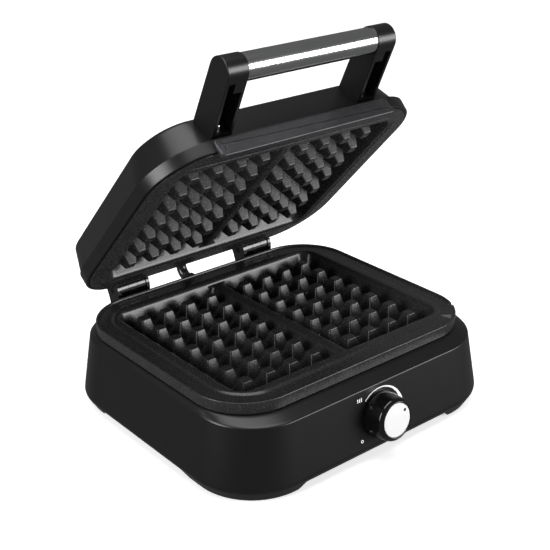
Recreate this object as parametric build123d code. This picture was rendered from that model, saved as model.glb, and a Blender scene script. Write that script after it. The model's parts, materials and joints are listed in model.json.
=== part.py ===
from build123d import *
from math import cos, hypot, radians, sin
import os

# Waffle maker with two hinged peg plates, standing open.
# World frame: X along the hinge, -Y to the front (knob), +Z up, floor at z = 0.
# Lid frame: origin on the hinge axis, lid closed, front towards -Y, h = Z.

# ---- driving dimensions (mm) ----
# base casing: half width, depth, centre y, corner radius and height of its four levels
base_w, base_d, base_h = 300.0, 266.0, 65.2      # widest level, and height of the shoulder
base_corner = 58.0                               # corner radius at the widest level
belly_z = 12.2                                   # height of the widest level
foot_inset, foot_z = 7.0, 0.8                    # casing's lower edge
shoulder_in_x, shoulder_in_front, shoulder_in_back = 9.0, 7.1, 5.5
ledge_rise = 4.7                                 # from the shoulder up to the ledge
ledge_in_x, ledge_in_front, ledge_in_back = 2.5, 13.4, 8.0
wall = 3.0                                       # casing wall
arch_h, arch_half_x, arch_front_y, arch_back_y = 8.0, 89.0, -60.0, 73.0
arch_slope = 8.0                                 # run of the S curve beside each foot

# waffle plates
pitch = 24.0                                     # peg spacing
peg_cols, peg_rows = 4, 7                        # pegs in one half
middle_half = 20.75                              # first column from the centre line
peg_tip, peg_root, peg_h = 8.8, 17.2, 14.5
cavity_x, cavity_y = 112.4, 90.0                 # half sizes of the baking cavity at its rim
cavity_corner, cavity_lean, cavity_round = 11.0, 5.0, 3.2
plate_y = 3.5                                    # centre of the plates
plate_floor = 3.5                                # thickness under the cavity
low_rim_w, low_rim_d, low_rim_corner = 275.0, 230.0, 49.0
low_rim_over, low_rim_h = 2.4, 10.0              # above the peg tips, and height of its skirt
up_rim_w, up_rim_d, up_rim_corner = 268.0, 225.6, 47.0
up_rim_over, up_rim_h = 0.6, 5.0
skirt = 4.0
divider_top, divider_root, divider_drop = 10.0, 18.0, 3.4
channel_in, channel_out, channel_deep = 2.0, 14.0, 1.6
bead_w, bead_h = 3.0, 0.7
tips_z = 78.0                                    # lower peg tips above the floor
seat_gap = 0.5                                   # washers between ledge and plate

# hinge
hinge_y, hinge_z = 130.8, 84.0
open_angle = 46.5                                # lid angle at rest, from closed
tip_gap_h = -2.0                                 # upper peg tips in the lid frame
hinge_x, hinge_w = 73.0, 34.5
ear_t, ear_r, knuckle_r, knuckle_w = 3.3, 9.8, 8.7, 8.5
pin_r, pin_fit, running_fit = 3.0, 0.02, 0.05
side_gap = 0.3

# lid casing, in the lid frame: d is the distance in front of the hinge axis
lid_back, lid_front = 11.0, 243.3
lid_w, lid_bottom, lid_corner = 274.8, -1.6, 50.0
band_h, band_step = 9.1, 5.3                      # crease round the lid, and its depth in front
roof_h, roof_in_x, roof_in_front, roof_corner = 37.6, 11.4, 16.0, 38.0
crown_h, crown_w, crown_back, crown_front = 40.4, 216.0, 44.0, 211.0
crown_corner = 28.0

# front strip
strip_w, strip_low, strip_high = 181.0, -8.5, 7.5
strip_t, strip_top_t = 4.2, 2.4                  # thickness at its lower and upper edge

# handle
arm_x, arm_w, arm_skin = 86.0, 20.0, 3.0
arm_end_d, arm_end_h, arm_end_r = 285.5, 40.6, 11.8
arm_top_angle, arm_low_angle = 17.0, 19.0
slot_deep = 15.0
tube_r, tube_wall, tube_in = 11.0, 1.2, 8.0

# knob
knob_z, knob_r, knob_face_r, knob_h = 37.6, 20.2, 18.3, 19.6
knob_gap, knob_skin = 0.6, 2.2
disc_r, disc_t, dot_r, dot_at, dot_angle = 14.5, 1.0, 1.35, 11.2, 34.0
shaft_r, bush_r, bush_out, nut_r, nut_t = 3.0, 5.0, 6.0, 8.0, 2.4

# small parts
screw_r, head_r, head_h, thread_gap = 1.6, 3.2, 2.4, 0.05
pad_r, pad_x, pad_y = 11.0, 115.0, 98.0
cover_t, cover_z = 2.5, 8.2
conduit_r, conduit_fit = 5.0, 0.15
heater_r = 3.25
sheet = 0.8
fit = 0.4                                        # clearance round loose covers and trays
block_w, block_top, block_back = 20.0, 73.0, 131.0


# ---- helpers ----
def level(w, d, y, r, z):
    """One level of a casing: width, depth, centre y, corner radius, height."""
    return (w, d, y, r, z)


def between(a, b, t):
    return tuple(p + (q - p) * t for p, q in zip(a, b))


def at_height(levels, z):
    """The level of a casing at a height, worked out along its straight sides."""
    for a, b in zip(levels, levels[1:]):
        if a[4] <= z <= b[4]:
            return between(a, b, (z - a[4]) / (b[4] - a[4]))
    return levels[0] if z < levels[0][4] else levels[-1]


def softened(levels, index, reach, steps=4):
    """Replace a sharp level by a rounded one that starts and ends a reach away."""
    low, mid, top = levels[index - 1], levels[index], levels[index + 1]
    a = between(mid, low, reach / hypot(mid[4] - low[4], (mid[1] - low[1]) / 2))
    b = between(mid, top, reach / hypot(top[4] - mid[4], (top[1] - mid[1]) / 2))
    bend = []
    for i in range(steps + 1):
        t = i / steps
        bend.append(between(between(a, mid, t), between(mid, b, t), t))
    return levels[:index] + bend + levels[index + 1:]


def stack(levels):
    """A solid through rounded rectangles, straight from level to level."""
    faces = [Pos(0, y, z) * RectangleRounded(w, d, r) for w, d, y, r, z in levels]
    return loft(faces, ruled=True)


def slab(w, d, r, z0, z1, y=0.0, x=0.0):
    return extrude(Pos(x, y, z0) * RectangleRounded(w, d, r), amount=z1 - z0)


def block(x0, x1, y0, y1, z0, z1):
    return Pos((x0 + x1) / 2, (y0 + y1) / 2, (z0 + z1) / 2) * Box(x1 - x0, y1 - y0, z1 - z0)


def rod(r, z0, z1, x=0.0, y=0.0):
    return Pos(x, y, (z0 + z1) / 2) * Cylinder(r, z1 - z0)


def rod_x(r, x0, x1, y, z):
    return Pos((x0 + x1) / 2, y, z) * Rot(0, 90, 0) * Cylinder(r, x1 - x0)


def screw(z_seat, z_tip, x=0.0, y=0.0, r=screw_r):
    """A pan head screw whose head lies under its seat and whose tip points up."""
    body = rod(r, z_seat, z_tip - r, x, y) + Pos(x, y, z_tip - r) * extrude(Circle(r), r, taper=30)
    head = rod(head_r, z_seat - head_h, z_seat, x, y)
    head = chamfer(head.faces().sort_by(Axis.Z)[0].edges(), 0.6)
    drive = Pos(x, y, z_seat - head_h + 0.6) * (Box(0.8, 3.6, 1.3) + Box(3.6, 0.8, 1.3))
    return head + body - drive


def merged(pieces):
    total = pieces[0]
    for piece in pieces[1:]:
        total += piece
    return total


def corners(x, y, yc=0.0):
    return [(sx * x, yc + sy * y) for sx in (-1, 1) for sy in (-1, 1)]


# ---- casing levels ----
def base_levels():
    half_w, half_d = base_w / 2, base_d / 2
    front = [-half_d + foot_inset - 1.0, -half_d]
    front += [-half_d + shoulder_in_front]
    front += [front[2] + ledge_in_front]
    back = [half_d - foot_inset + 1.0, half_d, half_d - shoulder_in_back]
    back += [back[2] - ledge_in_back]
    half_x = [half_w - foot_inset, half_w, half_w - shoulder_in_x]
    half_x += [half_x[2] - ledge_in_x]
    radius = [base_corner - 5, base_corner, base_corner - 5.3, base_corner - 8]
    heights = [foot_z, belly_z, base_h, base_h + ledge_rise]
    return [level(2 * x, b - f, (f + b) / 2, r, z)
            for x, f, b, r, z in zip(half_x, front, back, radius, heights)]


BASE = base_levels()
ledge_z = base_h + ledge_rise
front_wall_y = [BASE[1][2] - BASE[1][1] / 2, BASE[2][2] - BASE[2][1] / 2]
back_wall_y = [BASE[1][2] + BASE[1][1] / 2, BASE[2][2] + BASE[2][1] / 2]


def wall_y(ends, z):
    return ends[0] + (ends[1] - ends[0]) * (z - belly_z) / (base_h - belly_z)


def front_plane():
    """Frame on the front wall at the knob: x right, y up the wall, z outwards."""
    lean = (front_wall_y[1] - front_wall_y[0]) / (base_h - belly_z)
    size = hypot(1, lean)
    return Plane(origin=(0, wall_y(front_wall_y, knob_z), knob_z), x_dir=(1, 0, 0),
                 z_dir=(0, -1 / size, lean / size))


def back_plane(x, z):
    """Frame on the rear wall: z outwards."""
    lean = (back_wall_y[1] - back_wall_y[0]) / (base_h - belly_z)
    size = hypot(1, lean)
    return Plane(origin=(x, wall_y(back_wall_y, z), z), x_dir=(-1, 0, 0),
                 z_dir=(0, 1 / size, -lean / size))


FRONT = front_plane()
wall_n = wall * abs(FRONT.z_dir.Y)               # wall measured square to the front wall
back_n = wall * abs(back_plane(0, base_h / 2).z_dir.Y)
opening_w, opening_d, opening_r = 244.0, 200.0, 25.0
plate_screw_at = corners(low_rim_w / 2 - 9.5, 72.0, plate_y)
cover_screw_at = [(s * 129.5, plate_y + t * 50.0) for s in (-1, 1) for t in (-1, 1)]
cover_screw_at += [(-85.0, -111.0), (85.0, -111.0), (-40.0, 113.0), (40.0, 113.0)]
post_r = 4.5
hinge_screw_z, hinge_screw_dx = 58.0, 10.0
gland_x, gland_z, gland_r = 75.0, 30.0, 8.0


def base_outer():
    levels = softened(BASE, 2, 1.0, 2)
    return stack(softened(levels, 1, 2.2))


def base_inner():
    """The space inside the casing: each level in by the wall, the slope down by it."""
    low = BASE[0]
    start = (low[0] - 2 * wall, low[1] - 2 * wall, low[2], low[3] - wall, foot_z - 0.01)
    belly = BASE[1]
    mid = (belly[0] - 2 * wall, belly[1] - 2 * wall, belly[2], belly[3] - wall, belly_z)
    top = at_height(BASE, base_h - wall)
    shoulder = (top[0] - 2 * wall, top[1] - 2 * wall, top[2], top[3] - wall, base_h - wall)
    ledge = BASE[3]
    under = (ledge[0] - 2 * wall, ledge[1], ledge[2], ledge[3] - wall, ledge_z - wall)
    return stack([start, mid, shoulder, under])


def arch(half, z_top):
    """The outline under an arch, with an S curve up from each foot."""
    left = Bezier((-half, 0), (-half + 0.7 * arch_slope, 0), (-half + 0.3 * arch_slope, z_top),
                  (-half + arch_slope, z_top))
    right = mirror(left, Plane.YZ)
    top = Line(left @ 1, right @ 1)
    sides = Polyline(left @ 0, (-half, -5), (half, -5), right @ 0)
    return make_face(Curve() + [left, top, right, sides])


def arch_cuts():
    long_y, long_x = base_d + 20, base_w + 20
    front = Plane.XZ * arch(arch_half_x, arch_h)
    half = (arch_back_y - arch_front_y) / 2
    side = Plane.YZ * Pos((arch_back_y + arch_front_y) / 2, 0) * arch(half, arch_h)
    return extrude(front, long_y / 2, both=True) + extrude(side, long_x / 2, both=True)


# ---- base ----
def base_shell():
    outer = base_outer()
    shell = outer - base_inner() - arch_cuts()
    shell -= slab(opening_w, opening_d, opening_r, ledge_z - 2 * wall, ledge_z + 1, plate_y)
    bottom = cover_z + cover_t
    posts = [rod(post_r, bottom, ledge_z - wall, x, y) for x, y in cover_screw_at]
    roots = [rod(post_r, ledge_z - 2.2 * wall, ledge_z - wall / 2, x, y) & outer
             for x, y in cover_screw_at]
    shell += posts + roots
    pilot = screw_r + thread_gap
    shell -= [rod(pilot, bottom - 1, bottom + 16, x, y) for x, y in cover_screw_at]
    shell -= [rod(pilot, ledge_z - 2 * wall, ledge_z + 1, x, y) for x, y in plate_screw_at]
    shell -= FRONT * rod(bush_r + 0.1, -2 * wall, 2 * wall)
    shell -= back_plane(gland_x, gland_z) * rod(gland_r / 2 + 2.1, -2 * wall, 2 * wall)
    for sx in (-1, 1):
        for dx in (-hinge_screw_dx, hinge_screw_dx):
            hole = back_plane(sx * hinge_x + dx, hinge_screw_z)
            shell -= hole * rod(pilot, -2 * wall, 2 * wall)
    return shell - conduit_bore()


def bottom_cover():
    edge = at_height(BASE, cover_z)
    w, d = edge[0] - 2 * wall - 2 * fit, edge[1] - 2 * wall - 2 * fit
    cover = slab(w, d, edge[3] - wall - fit, cover_z, cover_z + cover_t, edge[2])
    cover -= [rod(screw_r + thread_gap, 0, 20, x, y) for x, y in cover_screw_at]
    cover -= [rod(pad_stem_r, 0, 20, x, y) for x, y in corners(pad_x, pad_y)]
    slots = [slab(26, 3, 1.49, 0, 20, -42 + 9 * j, -36 + 36 * i)
             for i in range(3) for j in range(10)]
    return cover - slots


pad_stem_r = 4.0


def rubber_feet():
    """Four pads pushed through the cover, each held by its own flange."""
    top = cover_z + cover_t
    pads = []
    for x, y in corners(pad_x, pad_y):
        pad = extrude(Pos(x, y, cover_z) * Circle(pad_r), -cover_z, taper=5)
        pad = fillet(pad.faces().sort_by(Axis.Z)[0].edges(), 1.2)
        pad += rod(pad_stem_r - thread_gap, cover_z - 1, top + 0.5, x, y)
        pad += rod(pad_stem_r + 2, top, top + 2, x, y)
        pads.append(pad - rod(3, -1, 3, x, y))
    return pads


def bottom_cover_screws():
    return [screw(cover_z, cover_z + cover_t + 13, x, y) for x, y in cover_screw_at]


# ---- waffle plates, with the peg tips at z = 0 and the cavity facing up ----
boss_at = corners(100.0, 76.0)


def cavity_cut(rim):
    """The baking cavity: leaning walls and a rounded lip."""
    floor_z = -peg_h
    lean = cavity_lean / (rim + peg_h)
    low = (2 * (cavity_x - cavity_lean), 2 * (cavity_y - cavity_lean), 0, 8.0, floor_z)
    levels = [low]
    for i in range(5):
        angle = radians(90 * i / 4)
        out = cavity_round * (1 - cos(angle))
        z = rim - cavity_round + cavity_round * sin(angle)
        x = cavity_x - lean * (rim - z) + out
        y = cavity_y - lean * (rim - z) + out
        levels.append((2 * x, 2 * y, 0, cavity_corner + out, z))
    last = levels[-1]
    levels.append((last[0], last[1], 0, last[3], rim + 3))
    return stack(levels)


def waffle_plate(w, d, r, rim, rim_h, boss_len, edge_boss_at, edge_boss_h):
    """A cast plate: rim with its skirt, tray under the cavity, divider and bosses."""
    under = -peg_h - plate_floor
    tray_w, tray_d = 2 * cavity_x + 11.2, 2 * cavity_y + 12.0
    body = slab(w, d, r, rim - rim_h, rim)
    hollow = slab(w - 2 * skirt, d - 2 * skirt, r - skirt, rim - rim_h, rim - skirt)
    body -= hollow
    low = (tray_w - 10, tray_d - 10, 0, 14.0, under)
    tray = stack([low, (tray_w, tray_d, 0, 20.0, rim - skirt)])
    body += tray
    body -= cavity_cut(rim)
    top = rim - divider_drop
    ends = 2 * cavity_y - 2
    wedge = loft([Pos(0, 0, -peg_h - 1) * Rectangle(divider_root, ends),
                  Pos(0, 0, top) * Rectangle(divider_top, ends)], ruled=True)
    body += wedge & stack([(tray_w - 4, tray_d - 4, 0, 14.0, under + 0.5),
                           (tray_w - 4, tray_d - 4, 0, 14.0, rim)])
    for x, y in boss_at:
        body += rod(4.0, under - boss_len, under + 1, x, y)
        body -= rod(screw_r + thread_gap, under - boss_len - 1, under - boss_len + 9, x, y)
    for x, y in edge_boss_at:
        body += rod(4.0, rim - edge_boss_h, rim - skirt + 1, x, y)
        body -= rod(screw_r + thread_gap, rim - edge_boss_h - 1, rim - skirt + 1.5, x, y)
    return body


def peg():
    """One peg: a frustum with rounded corners and a small chamfer at its tip."""
    tip, step = peg_tip / 2, 0.5
    levels = [(peg_root, peg_root, 0, 2.0, -peg_h), (peg_tip, peg_tip, 0, 1.2, -step),
              (2 * tip - 1.0, 2 * tip - 1.0, 0, 0.8, 0)]
    return stack(levels)


def pegs():
    one = peg()
    places = []
    for side in (-1, 1):
        for col in range(peg_cols):
            x = side * (middle_half + pitch * col)
            for row in range(peg_rows):
                places.append((x, pitch * (row - (peg_rows - 1) / 2)))
    return [Pos(x, y, 0) * one for x, y in places]


LOW = Pos(0, plate_y, tips_z)
lid_d = hinge_y - plate_y                        # plate centre in front of the axis
UP = Pos(0, -lid_d, tip_gap_h) * Rot(180, 0, 0)
OPEN = Pos(0, hinge_y, hinge_z) * Rot(-open_angle, 0, 0)
low_under = tips_z - peg_h - plate_floor         # underside of the lower tray
low_boss = 13.0
up_boss = 8.0


def lip_channel(rim):
    """The drip channel between the outer lip and the ridge round the cavity."""
    w, d, r = low_rim_w, low_rim_d, low_rim_corner
    ring = stack([(w - 2 * channel_in - 1, d - 2 * channel_in - 1, 0, r - channel_in,
                   rim - channel_deep),
                  (w - 2 * channel_in, d - 2 * channel_in, 0, r - channel_in, rim + 0.01)])
    core = stack([(w - 2 * channel_out, d - 2 * channel_out, 0, r - channel_out,
                   rim - channel_deep - 0.01),
                  (w - 2 * channel_out - 4, d - 2 * channel_out - 4, 0, r - channel_out - 2,
                   rim + 0.02)])
    return ring - core


def pull_lug(rim):
    """The pull lug on the front right corner, and the notches at its ends."""
    x0, y0 = low_rim_w / 2 - low_rim_corner, -(low_rim_d / 2 - low_rim_corner)
    outer_r, inner_r = low_rim_corner - 0.6, low_rim_corner - 7.0
    ring = rod(outer_r, rim - channel_deep - 0.3, rim) - rod(inner_r, rim - 5, rim + 1)
    fan = make_face(Polyline((0, 0), *[(80 * cos(radians(a)), 80 * sin(radians(a)))
                                       for a in (-30, -43, -57)], (0, 0)))
    lug = Pos(x0, y0, 0) * (ring & extrude(Pos(0, 0, rim - 5) * fan, 10))
    cuts = []
    for angle in (-27.5, -59.5):
        notch = Rot(0, 0, angle) * Pos(inner_r + 4.2, 0, rim - 1.3) * Box(8.4, 2.6, 2.6)
        cuts.append(Pos(x0, y0, 0) * notch)
    return lug, cuts


def lower_plate():
    plate_screws = [(x, y - plate_y) for x, y in plate_screw_at]
    boss_h = low_rim_over + tips_z - ledge_z - seat_gap
    plate = waffle_plate(low_rim_w, low_rim_d, low_rim_corner, low_rim_over, boss_h,
                         low_boss, plate_screws, boss_h)
    lug, cuts = pull_lug(low_rim_over)
    plate -= lip_channel(low_rim_over)
    plate += lug
    plate -= cuts
    return LOW * plate


def upper_plate():
    plate = waffle_plate(up_rim_w, up_rim_d, up_rim_corner, up_rim_over, up_rim_h,
                         up_boss, [], 0)
    around = cavity_round + 1.0
    outer = (2 * (cavity_x + around + bead_w), 2 * (cavity_y + around + bead_w))
    inner = (2 * (cavity_x + around), 2 * (cavity_y + around))
    bead = slab(*outer, cavity_corner + around + bead_w, up_rim_over - 1, up_rim_over + bead_h)
    bead -= slab(*inner, cavity_corner + around, up_rim_over - 2, up_rim_over + 2)
    plate += bead
    # vent hole with its thin groove, near the front right corner
    hole = rod(2.0, -8, 4, 110.5, 101.7)
    groove = Pos(115.1, 96.0, up_rim_over) * Rot(0, 0, -51) * Box(15, 1.0, 1.6)
    return UP * (plate - hole - groove)


def lower_plate_washers():
    return [rod(4.6, ledge_z, ledge_z + seat_gap, x, y)
            - rod(screw_r + 0.3, ledge_z - 1, ledge_z + 2, x, y) for x, y in plate_screw_at]


def lower_plate_screws():
    seat = ledge_z - wall
    return [screw(seat, seat + 9, x, y) for x, y in plate_screw_at]


# ---- heating parts, in the plates' own frame ----
heater_z = -peg_h - plate_floor - heater_r - 0.05


def heater():
    """A rod bent into one loop, with both ends turned to the rear."""
    x, front, back, lead = 85.0, -58.0, 58.0, 88.0
    side = 14.0
    path = FilletPolyline((-side, lead, heater_z), (-side, back, heater_z),
                          (-x, back, heater_z), (-x, front, heater_z), (x, front, heater_z),
                          (x, back, heater_z), (side, back, heater_z), (side, lead, heater_z),
                          radius=11.0)
    ring = Plane(origin=path @ 0, z_dir=path % 0) * Circle(heater_r)
    rods = [sweep(ring, path=path)]
    for sx in (-1, 1):
        rods.append(Pos(sx * side, lead + 4, heater_z) * Rot(90, 0, 0) * Cylinder(1.8, 8))
    return merged(rods)


def reflector(depth, hole_r, holes):
    """A pressed tray round the heater: floor at -depth, open towards the plate."""
    w, d = opening_w - 3.0, opening_d - 3.0
    top = -peg_h + 2.0
    tray = slab(w, d, opening_r - 1.5, -depth, top)
    tray -= slab(w - 2 * sheet, d - 2 * sheet, opening_r - 1.5 - sheet, -depth + sheet, top + 1)
    tray -= [rod(hole_r, -depth - 1, -depth + 2, x, y) for x, y in holes]
    for sx in (-1, 1):
        window = Pos(sx * 14.0, d / 2, heater_z) * Box(10, 6, 10)
        tray -= window
    return tray


low_depth = peg_h + plate_floor + low_boss
up_depth = peg_h + plate_floor + up_boss


def lower_reflector():
    return LOW * Pos(0, 0, -sheet) * reflector(low_depth, screw_r + 0.3, boss_at)


def upper_reflector():
    return UP * Pos(0, 0, -sheet) * reflector(up_depth, screw_r + 0.3, boss_at)


def reflector_screws():
    seat = -low_depth - sheet
    return [LOW * screw(seat, seat + 8, x, y) for x, y in boss_at]


# ---- thermostat and knob, in the front wall's frame ----
body_front = -wall_n


def thermostat_body():
    body = block(-15, 15, -12, 12, body_front - 14, body_front)
    body = fillet(body.edges().filter_by(Axis.Z), 2.0)
    tabs = [block(x - 3, x + 3, -0.4, 0.4, body_front - 22, body_front - 14)
            for x in (-7, 7)]
    bore = rod(bush_r + 0.1, body_front - 6, body_front + 1)
    return FRONT * (merged([body] + tabs) - bore)


def thermostat_bushing():
    tube = rod(bush_r, body_front - 6, bush_out)
    tube -= rod(shaft_r + running_fit, body_front - 10, bush_out + 1)
    return FRONT * chamfer(tube.edges().group_by(Axis.Z)[-1], 0.5)


def thermostat_nut():
    nut = extrude(RegularPolygon(nut_r, 6), nut_t) - rod(bush_r + 0.02, -1, nut_t + 1)
    return FRONT * nut


def thermostat_shaft():
    shaft = rod(shaft_r, body_front - 5.5, knob_h - 4.6)
    flat = block(-5, 5, shaft_r - 1.0, shaft_r + 2, bush_out + 0.8, knob_h)
    return FRONT * (shaft - flat)


def control_knob():
    """A hollow knob: leaning skirt, bevelled ring, sunk face, hub with a D bore."""
    rim_z, face_in = knob_h - 2.0, disc_r + 0.75
    outline = Polyline((0, knob_gap), (knob_r, knob_gap), (knob_r, knob_gap + 1.0),
                       (knob_face_r, rim_z), (face_in + 0.7, knob_h), (face_in, knob_h),
                       (disc_r + 0.05, knob_h - 0.7), (disc_r + 0.05, knob_h - disc_t - 0.6),
                       (0, knob_h - disc_t - 0.6), (0, knob_gap))
    solid = revolve(Plane.XZ * make_face(outline), Axis.Z)
    top = knob_h - disc_t - 0.6 - knob_skin
    cavity = Pos(0, 0, knob_gap - 1) * Cone(knob_r - knob_skin, knob_face_r - knob_skin,
                                            top - knob_gap + 1,
                                            align=(Align.CENTER, Align.CENTER, Align.MIN))
    hub = rod(6.2, bush_out + 0.9, top + 0.5)
    bore = rod(shaft_r + 0.02, 0, knob_h - 4.5)
    bore -= block(-5, 5, shaft_r - 0.98, shaft_r + 2, bush_out, knob_h)
    ribs = [Rot(0, 0, 60 * i + 30) * block(6, 16.5, -0.6, 0.6, top - 4, top + 0.5)
            for i in range(6)]
    knob = solid - cavity
    knob += merged([hub] + ribs)
    return FRONT * (knob - bore)


def knob_face_disc():
    disc = rod(disc_r, knob_h - disc_t - 0.6, knob_h - 0.6)
    disc = chamfer(disc.edges().group_by(Axis.Z)[-1], 0.25)
    return FRONT * (disc - knob_dot(0.0))


def knob_dot(extra):
    x, y = dot_at * cos(radians(dot_angle)), dot_at * sin(radians(dot_angle))
    return rod(dot_r, knob_h - 1.1, knob_h - 0.6 + extra, x, y)


def polar(r, angle, z=0.0):
    return (r * cos(radians(angle)), r * sin(radians(angle)), z)


def dial_marks():
    """A tapering sweep round the knob, a ring for off, and short bars at each end."""
    t = 0.25
    inner = ThreePointArc(polar(23, 134), polar(23, 48), polar(23, -37))
    outer = ThreePointArc(polar(23.6, 134), polar(25.6, 23), polar(27, -37))
    ends = [Line(inner @ 0, outer @ 0), Line(inner @ 1, outer @ 1)]
    marks = [extrude(make_face(Curve() + [inner, outer] + ends), t)]
    x, y = -22.4, -16.7
    marks.append(rod(1.4, 0, t, x, y) - rod(0.8, -1, 1, x, y))
    marks += [block(-24.6 + 2.0 * i, -23.8 + 2.0 * i, 18.2, 21.4, 0, t) for i in range(3)]
    marks += [block(20.4 + 2.0 * i, 21.4 + 2.0 * i, -24.2, -20.6, 0, t) for i in range(3)]
    return [FRONT * m for m in marks]


# ---- hinges ----
def spread():
    """Left edges of ear, knuckle, centre, knuckle, ear in a hinge, and their widths."""
    centre = hinge_w - 2 * ear_t - 2 * knuckle_w - 4 * side_gap
    widths = [ear_t, knuckle_w, centre, knuckle_w, ear_t]
    edges, x = [], -hinge_w / 2
    for w in widths:
        edges.append((x, x + w))
        x += w + side_gap
    return edges


def plate_x(outline, x0, x1):
    """A flat plate with its outline in Y and Z, from x0 to x1."""
    return Pos(x0, 0, 0) * extrude(Plane.YZ * outline, x1 - x0)


def base_hinge_brackets():
    """Ears and a centre knuckle on a foot behind the shoulder."""
    back = hinge_y + ear_r
    low, foot_top = hinge_screw_z - 4.5, base_h + 6.8
    foot_front, foot_back = hinge_y - ear_r, hinge_y + 4.7
    ear = make_face(Polyline((foot_front, hinge_z), (foot_front, low), (foot_back, low),
                             (foot_back + 0.2, foot_top - 2), (back, hinge_z),
                             (foot_front, hinge_z)))
    ear = ear + Pos(hinge_y, hinge_z) * Circle(ear_r)
    mid_front = hinge_y - knuckle_r + 0.1
    mid = make_face(Polyline((mid_front, hinge_z), (mid_front, low), (foot_back, low),
                             (foot_back + 0.2, foot_top - 2), (hinge_y + knuckle_r, hinge_z),
                             (mid_front, hinge_z)))
    mid = mid + Pos(hinge_y, hinge_z) * Circle(knuckle_r)
    foot = make_face(Polyline((foot_front, low), (foot_back, low), (foot_back + 0.4, foot_top),
                              (foot_front, foot_top), (foot_front, low)))
    edges = spread()
    pieces = [plate_x(ear, *edges[0]), plate_x(mid, *edges[2]), plate_x(ear, *edges[4])]
    pieces.append(plate_x(foot, -hinge_w / 2, hinge_w / 2))
    one = merged(pieces) - rod_x(pin_r + pin_fit, -hinge_w, hinge_w, hinge_y, hinge_z)
    outer = base_outer()
    brackets = []
    for sx in (-1, 1):
        bracket = Pos(sx * hinge_x, 0, 0) * one - outer
        for dx in (-hinge_screw_dx, hinge_screw_dx):
            hole = back_plane(sx * hinge_x + dx, hinge_screw_z)
            bracket -= hole * rod(screw_r + thread_gap, -1, 6.0)
        brackets.append(bracket)
    return brackets


def base_hinge_screws():
    screws = []
    for sx in (-1, 1):
        for dx in (-hinge_screw_dx, hinge_screw_dx):
            place = back_plane(sx * hinge_x + dx, hinge_screw_z)
            screws.append(place * screw(-back_n, 5.0))
    return screws


def hinge_pins():
    pins = []
    for sx in (-1, 1):
        half = hinge_w / 2 - 0.2
        pin = rod_x(pin_r, sx * hinge_x - half, sx * hinge_x + half, hinge_y, hinge_z)
        pins.append(chamfer(pin.edges().filter_by(GeomType.CIRCLE), 0.4))
    return pins


flange_x = 13.3
lid_screw_h, lid_screw_dx = 15.0, 8.0


def lid_hinge_brackets():
    """Two knuckles on a flange that seats on the lid's rear wall, in the lid frame."""
    arm = make_face(Polyline((0, knuckle_r), (-lid_back, knuckle_r), (-lid_back, -0.6),
                             (0, -knuckle_r * 0.6), (0, knuckle_r)))
    arm = arm + Circle(knuckle_r)
    arm = arm & Pos(-lid_back / 2 + knuckle_r / 2, 0) * Rectangle(lid_back + knuckle_r, 30)
    edges = spread()
    knuckles = [plate_x(arm, *edges[1]), plate_x(arm, *edges[3])]
    flange = block(-flange_x, flange_x, -lid_back, -lid_back + 6.0, knuckle_r + 0.6, 20)
    web = block(-flange_x, flange_x, -lid_back, -lid_back + 1.8, -0.6, knuckle_r + 1)
    flange = chamfer(flange.faces().sort_by(Axis.Y)[-1].edges(), 1.0)
    one = merged(knuckles + [flange, web])
    one -= rod_x(pin_r + running_fit, -hinge_w, hinge_w, 0, 0)
    brackets = []
    for sx in (-1, 1):
        bracket = Pos(sx * hinge_x, 0, 0) * one
        for dx in (-lid_screw_dx, lid_screw_dx):
            hole = rear_hole(sx * hinge_x + dx, screw_r + thread_gap, -1, 5.0)
            bracket -= hole
        brackets.append(bracket)
    return [OPEN * b for b in brackets]


def rear_hole(x, r, z0, z1, h=lid_screw_h):
    """A rod square to the lid's rear wall, z measured outwards from that wall."""
    place = Plane(origin=(x, -lid_back, h), x_dir=(-1, 0, 0), z_dir=(0, 1, 0))
    return place * rod(r, z0, z1)


def lid_hinge_screws():
    screws = []
    for sx in (-1, 1):
        for dx in (-lid_screw_dx, lid_screw_dx):
            place = Plane(origin=(sx * hinge_x + dx, -lid_back, lid_screw_h),
                          x_dir=(-1, 0, 0), z_dir=(0, 1, 0))
            screws.append(OPEN * (place * screw(-wall, 4.6)))
    return screws


# ---- lid casing ----
def lid_level(w, back, front, r, z):
    return level(w, front - back, -(front + back) / 2, r, z)


def lid_levels():
    rim = lid_level(lid_w, lid_back, lid_front, lid_corner, lid_bottom)
    band = lid_level(lid_w + 2.4, lid_back, lid_front, lid_corner + 1, band_h)
    step = lid_level(lid_w, lid_back, lid_front - band_step, lid_corner, band_h)
    roof = lid_level(lid_w - 2 * roof_in_x, lid_back, lid_front - roof_in_front, roof_corner,
                     roof_h)
    crown = lid_level(crown_w, crown_back, crown_front, crown_corner, crown_h)
    return rim, band, step, roof, crown


RIM, BAND, STEP, ROOF, CROWN = lid_levels()
lid_post_r, cap_r = 7.5, 4.4
post_low = tip_gap_h + up_depth + sheet          # where the posts meet the reflector
cap_t = 2.0
strip_screw_x, strip_screw_h = (-60.0, 0.0, 60.0), 4.6
arm_mid = arm_x - arm_w / 2
arm_screw_h = (19.5, 29.0)


def front_slope():
    """Lean of the lid's front wall above its crease: change of d for one of h."""
    return ((lid_front - roof_in_front) - (lid_front - band_step)) / (roof_h - band_h)


def front_d(h):
    return lid_front - band_step + front_slope() * (h - band_h)


def lid_front_plane(x, h):
    lean = front_slope()
    size = hypot(1, lean)
    return Plane(origin=(x, -front_d(h), h), x_dir=(1, 0, 0), z_dir=(0, -1 / size, -lean / size))


lid_front_n = wall / hypot(1, front_slope())


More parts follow.
